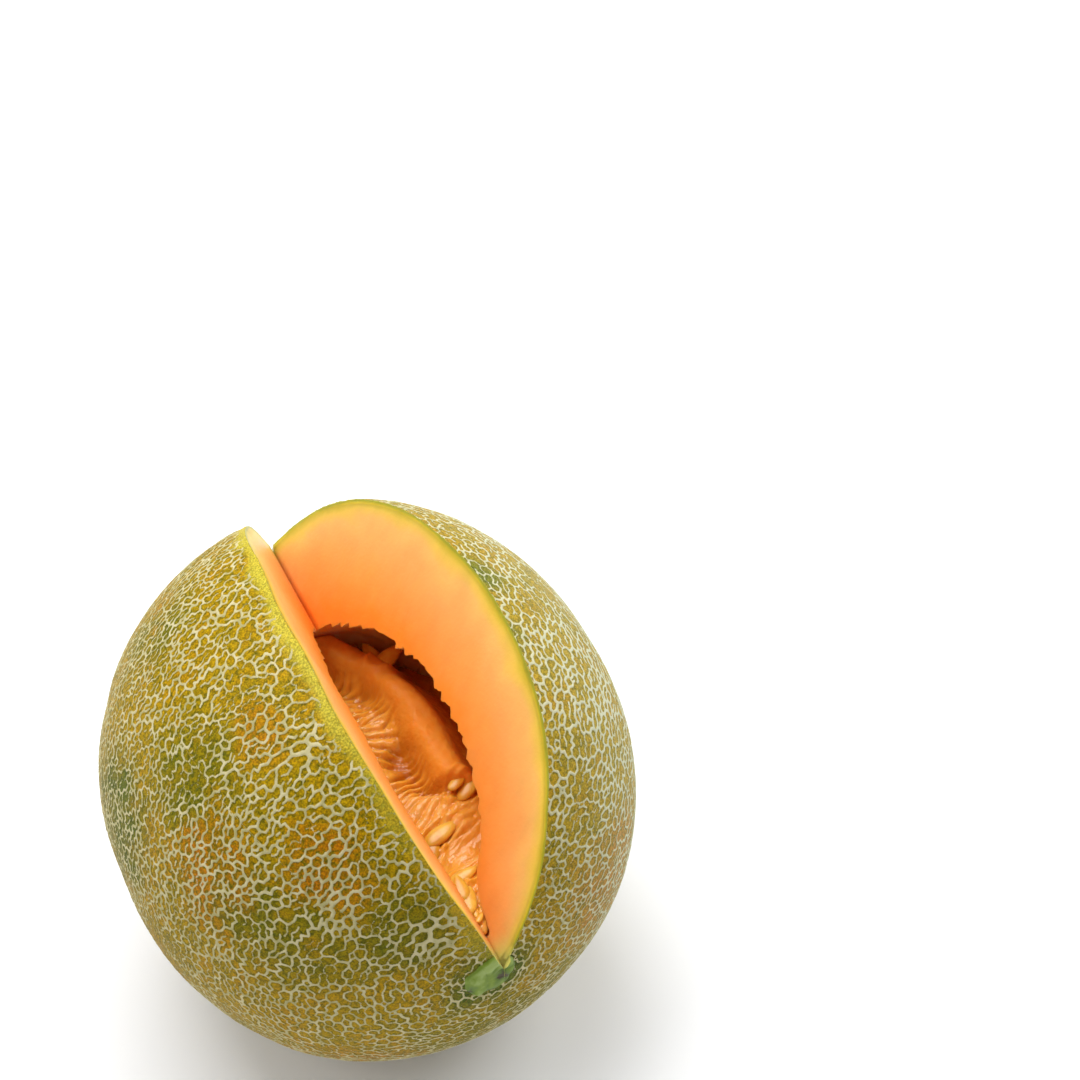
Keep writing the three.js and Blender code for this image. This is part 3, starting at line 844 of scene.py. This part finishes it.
FOLD_HEIGHT, FOLD_PITCH, FOLD_SLANT, LOW_SLANT = 2.5, 3.1, 0.25, -0.5
HOLLOW_DEPTH = 2.2
COLLAR_HEIGHT = 0.8  # pulp that rises round a seed
# Seeds that show in the cut: x, y, turn from +X and tip upwards in degrees, rise and scale.
SHOWN_SEEDS = (
    (17.4, -23.4, 19, 10, 0.2, 0.72), (20.0, -25.4, 24, 16, 0.3, 0.95), (7.2, -34.2, 14, 8, 0.5, 1.12),
    (3.6, -36.6, 70, 12, 0.4, 0.86), (6.6, -50.0, 8, 8, 0.2, 0.9), (3.8, -54.4, 84, 6, 0.5, 0.86),
    (4.2, -58.6, 63, 4, 0.6, 0.92), (4.4, -62.4, 70, 0, 0.6, 0.36), (4.5, -64.6, 40, 0, 0.6, 0.32),
    (18.7, 28.5, 23, 10, 2.6, 1.3), (16.5, 36.0, 100, 10, 1.6, 1.0),
)
SEED_HALF = (5.0, 2.3, 1.1)


def bed_form(x, y):
    """The bed's height above the fruit's centre, its tone with painted shade, and how much of it is
    lobe.
    """
    spot = np.stack([x, y, 0 * x], axis=-1).reshape(-1, 3)

    def bumps(size, seed):
        return waves(spot, size, seed).reshape(x.shape)

    # The lobe, the trough at its right, the folded side at its left, and the low part at the stem.
    bend = LOBE_BEND * np.abs(np.maximum(y - BEND_START, 0) / BEND_RUN) ** 2.8
    from_lobe = x - LOBE_X + bend + 0.5 * bumps(9, 27)
    past_foot = y + FOOT_SLANT * (x - LOBE_X)
    present = smooth(past_foot, LOBE_FOOT - 3, LOBE_FOOT + 3)
    lobe = np.exp(-(np.abs(from_lobe / LOBE_HALF_WIDTH) ** 3.2)) * present
    beyond = smooth(from_lobe, TROUGH_START, TROUGH_START + TROUGH_WIDTH) * present
    left = smooth(-from_lobe, 4, 8) * present
    low = 1 - present

    # Slippery folds with smaller ones on them, pits between them, and the crease.
    slant = FOLD_SLANT * left + LOW_SLANT * low
    strayed = y + slant * x + 1.5 * bumps(8, 21) + 0.5 * bumps(3.5, 23)
    crest = np.abs(np.sin(math.pi * strayed / FOLD_PITCH)) ** 0.75
    small = np.abs(np.sin(math.pi * (strayed + 0.9 * bumps(5, 28)) / (FOLD_PITCH * 0.46))) ** 0.8
    strength = np.clip(0.78 + 0.36 * bumps(6, 24), 0.3, 1.25) * (left + 0.5 * low)
    folds = strength * (0.78 * crest + 0.30 * small * smooth(bumps(7, 29), -0.6, 0.8))
    hollows = left * smooth(bumps(11, 25), 0.7, 1.6)
    foot = np.exp(-(((past_foot - LOBE_FOOT) / 1.5) ** 2)) * smooth(x, 4, 11)
    height = BED_LEVEL + BED_TILT * y + LOBE_HEIGHT * lobe - TROUGH_DEPTH * beyond
    height = height - (FAR_DROP + LEFT_DROP * left) * smooth(y, FAR_START, FAR_START + FAR_LENGTH)
    height = height + STEM_RISE * smooth(-y, *STEM_RISE_Y) + FOLD_HEIGHT * folds - CREASE_DEPTH * foot
    height = height + LOW_RISE * low * smooth(x, *LOW_RISE_X) * smooth(y, *LOW_RISE_Y)
    height = height - HOLLOW_DEPTH * hollows + 0.25 * bumps(4, 22) + 0.08 * bumps(1.5, 26)
    # The tone is painted shade in the pits, the crease and the trough, and painted light on the fold
    # crests; the low pulp at the stem end is paler in itself.
    tone = 0.12 + 0.62 * folds - 0.4 * hollows - 0.45 * foot + 0.30 * low - 0.3 * beyond
    for seed_x, seed_y, turn, _, _, scale in SHOWN_SEEDS:
        angle = math.radians(turn)
        long = (x - seed_x) * math.cos(angle) + (y - seed_y) * math.sin(angle)
        wide = -(x - seed_x) * math.sin(angle) + (y - seed_y) * math.cos(angle)
        ring = np.hypot(long / (SEED_HALF[0] * scale + 0.6), wide / (SEED_HALF[1] * scale + 0.6))
        height = height + COLLAR_HEIGHT * scale * np.exp(-(((ring - 1.2) / 0.3) ** 2))
    return height, np.clip(tone, 0, 1), lobe


# Soft wet pulp. Its folds shine with juice, and the smooth lobe hardly does.
pulp_finish, tree, shader = new_material("wet_pulp", {
    "Roughness": 0.5, "IOR": 1.36, "Specular IOR Level": 0.25, "Coat Roughness": 0.08,
    "Subsurface Weight": 0.35, "Subsurface Radius": (1.0, 0.6, 0.3), "Subsurface Scale": 4 * MM,
})
place = add(tree, "ShaderNodeTexCoord").outputs["Object"]
tone = add(tree, "ShaderNodeAttribute", attribute_name="tone").outputs["Fac"]
cloud = add(tree, "ShaderNodeTexNoise", {"Vector": place, "Scale": 1 / (3 * MM), "Detail": 4.0})
stray = add(
    tree, "ShaderNodeMapRange", {"Value": cloud.outputs["Fac"], "To Min": -0.35, "To Max": 0.35}
)
mixed = add(tree, "ShaderNodeMath", {0: tone, 1: stray}, operation="ADD")
# The ramp runs from painted shade, dark brown-orange in the pits and trough, to painted light, pale on
# the fold crests.
pulp = add(tree, "ShaderNodeValToRGB", {"Fac": mixed})
colour_stops(pulp.color_ramp, ((0.05, "#c26c08"), (0.45, "#f2a430"), (0.95, "#f8bc68")))
lobe = add(tree, "ShaderNodeAttribute", attribute_name="lobe").outputs["Fac"]
lobe_colour = add(
    tree, "ShaderNodeMix", {0: cloud.outputs["Fac"], 6: paint("#ff941c"), 7: paint("#ffac44")},
    data_type="RGBA",
)
pulp = add(
    tree, "ShaderNodeMix", {0: lobe, 6: pulp.outputs["Color"], 7: lobe_colour.outputs[2]},
    data_type="RGBA",
)
tree.links.new(pulp.outputs[2], shader.inputs["Base Color"])
strands = add(tree, "ShaderNodeTexNoise", {"Vector": place, "Scale": 1 / (1.2 * MM), "Detail": 3.0})
wet = add(
    tree, "ShaderNodeBump", {"Height": strands.outputs["Fac"], "Strength": 0.6, "Distance": 0.5 * MM}
)
tree.links.new(wet.outputs[0], shader.inputs["Normal"])
tree.links.new(wet.outputs[0], shader.inputs["Coat Normal"])
shine = add(tree, "ShaderNodeMapRange", {"Value": lobe, "To Min": 0.8, "To Max": 0.03})
tree.links.new(shine.outputs[0], shader.inputs["Coat Weight"])

# A block with the bed's form on top is cut to the hollow's own shape, without its ribs.
bed_rows, bed_columns = 250, 320
fit_rows, fit_columns = 80, 120
bed_x, bed_y = np.meshgrid(
    np.linspace(-46, 46, bed_rows + 1), np.linspace(-70, 52, bed_columns + 1), indexing="ij"
)
top = np.stack([bed_x, bed_y, bed_form(bed_x, bed_y)[0]], axis=2).reshape(-1, 3)
bottom = top.copy()
bottom[:, 2] = -48
bed_block = np.concatenate([top, bottom])
bed_sides = box_faces(bed_rows, bed_columns)
block_triangles = np.concatenate([bed_sides[:, :3], bed_sides[:, [0, 2, 3]]])
block_triangles = flip_if_inside_out(bed_block, block_triangles)
bed = piece_from("seed_bed_pulp", bed_block, block_triangles, [pulp_finish])
fit_grid = hollow_points(fit_rows, fit_columns, RIB_DEPTH + BED_GAP, 0.0)
fit_mesh = flip_if_inside_out(fit_grid, hollow_faces(fit_rows, fit_columns))
fit_tool = piece_from("fit_tool", fit_grid, fit_mesh, [pulp_finish])
carve(bed, fit_tool, "INTERSECT")
settle(bed, "seed_bed_pulp")
spots = np.empty(len(bed.data.vertices) * 3, np.float32)
bed.data.vertices.foreach_get("co", spots)
spots = spots.reshape(-1, 3) / MM - CENTRE
_, tone_and_shade_values, lobes = bed_form(spots[:, 0], spots[:, 1])
store(bed, "tone", tone_and_shade_values)
store(bed, "lobe", lobes)
bed.data.shade_smooth()
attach(bed, "root")
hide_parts("seed_bed")

# The seeds.
# Flat pointed ovals with a smooth wet hull, pale yellow with orange pulp clinging to them. They
# lie half sunk in the bed, most of them along its folds.
LOOSE_SEEDS = 14
LOOSE_APART = 8.0
LOOSE_SIDE = -14.0  # they lie to the -X side of this, under the left flesh
LOOSE_EDGE = 0.78  # and within this share of the cavity
# A thin smooth hull, wet with juice, that gives sharp small highlights.
seed_finish, tree, shader = new_material("seed_hull", {
    "Roughness": 0.3, "IOR": 1.4, "Coat Weight": 0.3, "Coat Roughness": 0.08,
    "Subsurface Weight": 0.2, "Subsurface Radius": (1.0, 0.7, 0.3), "Subsurface Scale": 2 * MM,
})
place = add(tree, "ShaderNodeTexCoord").outputs["Object"]
cloud = add(tree, "ShaderNodeTexNoise", {"Vector": place, "Scale": 1 / (4 * MM), "Detail": 3.0})
hull = add(tree, "ShaderNodeValToRGB", {"Fac": cloud.outputs["Fac"]})
colour_stops(hull.color_ramp, ((0.36, "#e29c24"), (0.62, "#f0be48")))
tree.links.new(hull.outputs["Color"], shader.inputs["Base Color"])


def seed_points(steps):
    """One seed at the origin: a flat oval, round at one end and pointed at the other."""
    directions, squares = ball_grid(steps)
    along = directions[:, 0]
    wide = (1 - 0.24 * along - 0.10 * along**2) * directions[:, 1]
    thick = (1 - 0.15 * along) * directions[:, 2]
    thick = np.sign(thick) * np.abs(thick) ** 0.9
    seed = np.stack([along * SEED_HALF[0], wide * SEED_HALF[1], thick * SEED_HALF[2]], axis=1)
    return seed, squares


random = np.random.default_rng(12)
rows = [list(row) for row in SHOWN_SEEDS]
while len(rows) < len(SHOWN_SEEDS) + LOOSE_SEEDS:
    x, y = random.uniform(-34, 34), random.uniform(-44, 36)
    across = math.hypot((y - CAVITY_MIDDLE) / CAVITY_HALF_LENGTH, x / CAVITY_RADIUS)
    apart = min(math.hypot(x - row[0], y - row[1]) for row in rows)
    if across < LOOSE_EDGE and apart > LOOSE_APART and x < LOOSE_SIDE:
        rows.append([x, y, random.uniform(-40, 40), random.uniform(-10, 20), 0.2, 1.0])
rows = np.array(rows)
seats = bed_form(rows[:, 0], rows[:, 1])[0] + rows[:, 4]
seed_mesh, seed_squares = seed_points(10)
one_seed = piece_from("one_seed", seed_mesh - CENTRE, seed_squares, [seed_finish])
seats = np.column_stack([rows[:, :2], seats])
seeds = piece_from("seeds", seats, np.zeros((0, 4), int), [seed_finish])
store(seeds, "turn", np.radians(rows[:, 2]))
store(seeds, "tip", -np.radians(rows[:, 3]))
store(seeds, "own_scale", rows[:, 5])
seed_sizes = {"Least Scale": 0.94, "Greatest Scale": 1.04}
tree, given, keys = start_tree("laid_seeds", seed_sizes)
form = add(tree, "GeometryNodeObjectInfo", {"Object": one_seed})
turned, tipped, own = (
    add(tree, "GeometryNodeInputNamedAttribute", {"Name": name}, data_type="FLOAT").outputs[0]
    for name in ("turn", "tip", "own_scale")
)
angles = add(tree, "ShaderNodeCombineXYZ", {"Y": tipped, "Z": turned})
turn = add(tree, "FunctionNodeEulerToRotation", {0: angles})
size = add(
    tree, "FunctionNodeRandomValue",
    {2: given.outputs["Least Scale"], 3: given.outputs["Greatest Scale"], "Seed": 2}, data_type="FLOAT",
)
size = add(tree, "ShaderNodeMath", {0: size.outputs[1], 1: own}, operation="MULTIPLY")
sown = add(
    tree, "GeometryNodeInstanceOnPoints",
    {"Points": given.outputs["Geometry"], "Instance": form.outputs["Geometry"],
     "Rotation": turn, "Scale": size},
)
finish_tree(tree, sown.outputs[0], seed_finish)
grow(seeds, tree, keys, seed_sizes)
seeds.data.shade_smooth()
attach(seeds, "root")
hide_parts("seed_bed")

# The stem scar.
# The corky button that the stalk slipped off when the fruit was ripe. It is still green, with
# pale streaks, creases that run out from its middle, and one side taken by the knife.
SCAR_X, SCAR_Z = 0.8, 1.2
SCAR_RADIUS = 6.9
SCAR_SINK = 2.2
SCAR_PROUD = 1.0
SCAR_SKIN_GAP = 0.12
# The dent is brown in itself, and darker still by the painted shade that the colour gives sunk parts.
DENT_X, DENT_Z = 3.4, -0.6  # a dark dent, from the scar's middle
# Green living cork, dry and matt. It is brown where it is sunk, which is painted shade, and pale
# green where it stands up, which is partly painted light.
scar_finish, tree, shader = new_material("green_scar", {
    "Roughness": 0.55, "IOR": 1.45, "Subsurface Weight": 0.1,
    "Subsurface Radius": (0.9, 1.0, 0.3), "Subsurface Scale": 2 * MM,
})
place = add(tree, "ShaderNodeTexCoord").outputs["Object"]
high = add(tree, "ShaderNodeAttribute", attribute_name="high").outputs["Fac"]
cloud = add(tree, "ShaderNodeTexNoise", {"Vector": place, "Scale": 1 / (3.5 * MM), "Detail": 4.0})
mixed = add(tree, "ShaderNodeMath", {0: cloud.outputs["Fac"], 1: high}, operation="ADD")
green = add(tree, "ShaderNodeValToRGB", {"Fac": mixed})
colour_stops(
    green.color_ramp,
    ((0.30, "#42360c"), (0.42, "#567206"), (0.62, "#748c14"), (0.80, "#92a650")),
)
tree.links.new(green.outputs["Color"], shader.inputs["Base Color"])

directions, squares = ball_grid(56)
ring = np.hypot(directions[:, 0], directions[:, 2])
angle = np.arctan2(directions[:, 2], directions[:, 0])
outline = 1 + 0.07 * np.sin(2 * angle + 1) + 0.05 * np.sin(5 * angle) + 0.03 * np.sin(9 * angle + 2)
reach = ring * outline
x = SCAR_X + SCAR_RADIUS * reach * np.cos(angle)
z = SCAR_Z + SCAR_RADIUS * reach * np.sin(angle)
# It follows the skin of the stem end, with creases and lumps on its face.
girth = np.hypot(x / HALF_WIDTH, z / HALF_HEIGHT) / (1 - FAR_FULLNESS + END_FULLNESS)
y = -HALF_LENGTH * (1 - girth**OUTLINE_POWER) ** (1 / OUTLINE_POWER)
spot = np.stack([x, y, z], axis=1)
creases = np.abs(np.sin(2.5 * angle + 1.6 * waves(spot, 5, 41))) ** 0.7
face = 0.45 + 0.45 * np.exp(-(((ring - 0.55 - 0.1 * waves(spot, 6, 44)) / 0.3) ** 2))
face = face + 0.30 * (creases - 0.6) * smooth(ring, 0.1, 0.4) + 0.30 * waves(spot, 2.6, 42)
dent_x, dent_z = (x - SCAR_X - DENT_X) / 1.6, (z - SCAR_Z - DENT_Z) / 2.2
face = face - 0.7 * np.exp(-(dent_x**2) - (dent_z**2))
edge = smooth(1 - ring, 0, 0.12)
out = directions[:, 1] < 0
y = np.where(out, y - SCAR_PROUD * face * edge - SCAR_SKIN_GAP, y + SCAR_SINK * edge)
spot = np.stack([x, y, z], axis=1)
scar = piece_from("stem_scar_button", spot, squares, [scar_finish])
carve(scar, wedge, "DIFFERENCE")
# This height sets the colour: painted shade where the scar is sunk, painted light where it stands up.
store(scar, "high", 0.35 * (face - 0.5) + 0.10 * (waves(spot, 5, 43)))
settle(scar, "stem_scar_button")
note_depth(scar)
scar.data.shade_smooth()
scar.data.set_sharp_from_angle(angle=math.radians(60))
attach(scar, "root")
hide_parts("stem_scar")

for tool in (fit_tool, wedge, hollow, one_seed):
    bpy.data.objects.remove(tool)

# The stage: a pale floor, soft lamps and the camera.
# The camera is where the photograph's was, found by fitting the fruit's outline and its cut.
CAMERA_PLACE = (-112.1, -327.3, 400.7)  # from the fruit's centre
CAMERA_WAY = (0.3385, 0.6614, -0.6693)
floor_mesh = bpy.data.meshes.new("floor")
floor_mesh.from_pydata([(-3, -3, 0), (3, -3, 0), (3, 3, 0), (-3, 3, 0)], [], [(0, 1, 2, 3)])
floor = bpy.data.objects.new("floor", floor_mesh)
bpy.context.collection.objects.link(floor)
# Matt white board, which takes a soft shadow and no reflection.
floor_finish, _, _ = new_material("pale_floor", {"Base Color": paint("#f2f3f5"), "Roughness": 0.9})
floor_mesh.materials.append(floor_finish)

world = bpy.data.worlds.new("studio")
world.use_nodes = True
sky = world.node_tree.nodes["Background"]
sky.inputs["Color"].default_value = (1, 1, 1, 1)
sky.inputs["Strength"].default_value = 0.42
bpy.context.scene.world = world
bpy.context.scene.view_settings.view_transform = "Standard"

# Each lamp's name, place in metres, size and power. They look at the fruit's middle.
LAMPS = (
    ("key_lamp", (-0.06, 0.46, 1.33), 1.0, 17.2),
    ("left_lamp", (-0.9, 0.2, 0.9), 0.8, 4.0),
    ("right_lamp", (0.95, 0.1, 0.75), 0.8, 8.5),
)
for name, spot, size, watts in LAMPS:
    lamp = bpy.data.objects.new(name, bpy.data.lights.new(name, "AREA"))
    lamp.data.size = size
    lamp.data.energy = watts
    lamp.location = spot
    lamp.rotation_euler = (Vector((0, 0, 0.07)) - Vector(spot)).to_track_quat("-Z", "Y").to_euler()
    bpy.context.collection.objects.link(lamp)

camera = bpy.data.objects.new("camera", bpy.data.cameras.new("camera"))
camera.data.lens = 60
camera.data.sensor_width = 36
camera.location = (Vector(CAMERA_PLACE) + Vector(CENTRE)) * MM
camera.rotation_euler = Vector(CAMERA_WAY).to_track_quat("-Z", "Y").to_euler()
camera.data.clip_start = 0.01
bpy.context.collection.objects.link(camera)
bpy.context.scene.camera = camera
